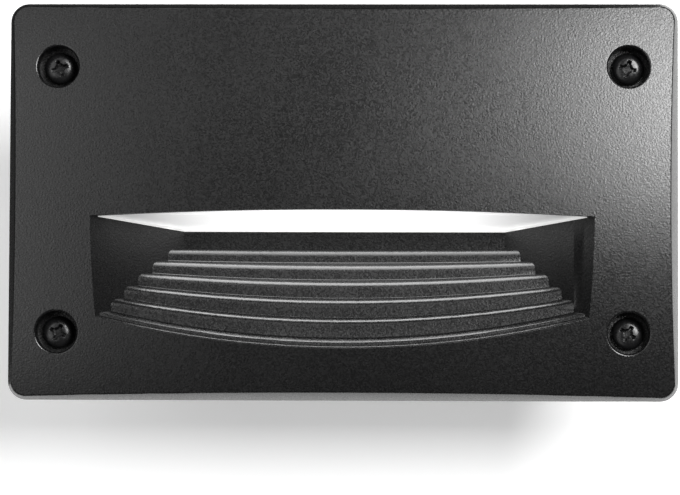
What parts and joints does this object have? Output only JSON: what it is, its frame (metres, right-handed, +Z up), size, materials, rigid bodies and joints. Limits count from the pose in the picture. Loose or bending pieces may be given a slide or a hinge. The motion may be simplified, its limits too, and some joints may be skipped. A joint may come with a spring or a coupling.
{
  "type": "step light",
  "caption": "Recessed outdoor step light: domed black cast face plate with a stepped scoop under a lit lens, held by cross-headed screws to a wall box with its LED gear.",
  "frame": {"origin": "centre of the face plate on the wall surface, where the wall opening is", "axes": "+X to the right along the plate, +Y into the wall, +Z up; the face looks along -Y"},
  "size_m": [0.235, 0.0929, 0.1396],
  "materials": {
    "cast_black": "fine textured powder coat",
    "lens_glass": "opal, lit",
    "seal_white": "matte",
    "seal_black": "matte",
    "screw_black": "black, glossy",
    "steel": "satin",
    "brass": "plain",
    "white_sheet": "gloss white",
    "aluminium": "mill",
    "driver_plastic": "matte",
    "board_green": "solder mask",
    "coil_tape": "tape",
    "capacitor_sleeve": "sleeve",
    "board_white": "white solder mask",
    "led_emitter": "phosphor",
    "plug_plastic": "matte",
    "gland_plastic": "matte",
    "seal_grey": "matte",
    "lead_brown": "insulation",
    "lead_blue": "insulation",
    "lead_green": "insulation",
    "lead_red": "insulation",
    "lead_black": "insulation"
  },
  "bodies": {
    "housing": {"back_box": "cast_black", "box_gasket": "seal_black", "bracket_screw_1": "steel", "bracket_screw_2": "steel", "driver_screw_1": "steel", "driver_screw_2": "steel", "earth_screw": "steel", "earth_tag": "steel", "tray_screw_1": "steel", "tray_screw_2": "steel", "tray_screw_3": "steel", "tray_screw_4": "steel", "thread_insert_1": "brass", "thread_insert_2": "brass", "thread_insert_3": "brass", "thread_insert_4": "brass", "terminal_screw_1": "brass", "terminal_screw_2": "brass", "terminal_screw_3": "brass", "gear_tray": "white_sheet", "reflector": "white_sheet", "led_bracket": "aluminium", "driver_case": "driver_plastic", "driver_lid": "driver_plastic", "driver_board": "board_green", "driver_coil": "coil_tape", "driver_capacitor": "capacitor_sleeve", "led_board": "board_white", "led_chip_1": "led_emitter", "led_chip_2": "led_emitter", "led_chip_3": "led_emitter", "led_chip_4": "led_emitter", "led_plug": "plug_plastic", "terminal_block": "plug_plastic", "gland_body": "gland_plastic", "gland_locknut": "gland_plastic", "gland_nut": "gland_plastic", "blanking_plug": "gland_plastic", "gland_seal": "seal_grey", "supply_lead_1": "lead_brown", "supply_lead_2": "lead_blue", "earth_lead": "lead_green", "led_lead_1": "lead_red", "led_lead_2": "lead_black"},
    "cover": {"face_plate": "cast_black", "lens": "lens_glass", "lens_gasket": "seal_white", "lens_clip_1": "steel", "lens_clip_2": "steel", "clip_screw_1": "steel", "clip_screw_2": "steel"},
    "washer_1": {"seal_washer_1": "seal_black"},
    "screw_1": {"face_screw_1": "screw_black"},
    "washer_2": {"seal_washer_2": "seal_black"},
    "screw_2": {"face_screw_2": "screw_black"},
    "washer_3": {"seal_washer_3": "seal_black"},
    "screw_3": {"face_screw_3": "screw_black"},
    "washer_4": {"seal_washer_4": "seal_black"},
    "screw_4": {"face_screw_4": "screw_black"}
  },
  "joints": [
    {"name": "cover_lift", "type": "slide", "parent": "housing", "child": "cover", "axis": [0, -1, 0], "range_m": [0, 0.06]},
    {"name": "screw_1_out", "type": "slide", "parent": "cover", "child": "washer_1", "axis": [0, -1, 0], "range_m": [0, 0.012]},
    {"name": "screw_1_turn", "type": "hinge", "parent": "washer_1", "child": "screw_1", "pos_m": [-0.0998, 0, 0.0468], "axis": [0, -1, 0], "range_deg": [0, 5400]},
    {"name": "screw_2_out", "type": "slide", "parent": "cover", "child": "washer_2", "axis": [0, -1, 0], "range_m": [0, 0.012]},
    {"name": "screw_2_turn", "type": "hinge", "parent": "washer_2", "child": "screw_2", "pos_m": [0.0998, 0, 0.0468], "axis": [0, -1, 0], "range_deg": [0, 5400]},
    {"name": "screw_3_out", "type": "slide", "parent": "cover", "child": "washer_3", "axis": [0, -1, 0], "range_m": [0, 0.012]},
    {"name": "screw_3_turn", "type": "hinge", "parent": "washer_3", "child": "screw_3", "pos_m": [-0.0998, 0, -0.0462], "axis": [0, -1, 0], "range_deg": [0, 5400]},
    {"name": "screw_4_out", "type": "slide", "parent": "cover", "child": "washer_4", "axis": [0, -1, 0], "range_m": [0, 0.012]},
    {"name": "screw_4_turn", "type": "hinge", "parent": "washer_4", "child": "screw_4", "pos_m": [0.0998, 0, -0.0462], "axis": [0, -1, 0], "range_deg": [0, 5400]}
  ],
  "couplings": [
    {"joint": "screw_1_turn", "follows": "screw_1_out", "rad_per_m": 7854},
    {"joint": "screw_2_turn", "follows": "screw_2_out", "rad_per_m": 7854},
    {"joint": "screw_3_turn", "follows": "screw_3_out", "rad_per_m": 7854},
    {"joint": "screw_4_turn", "follows": "screw_4_out", "rad_per_m": 7854}
  ]
}
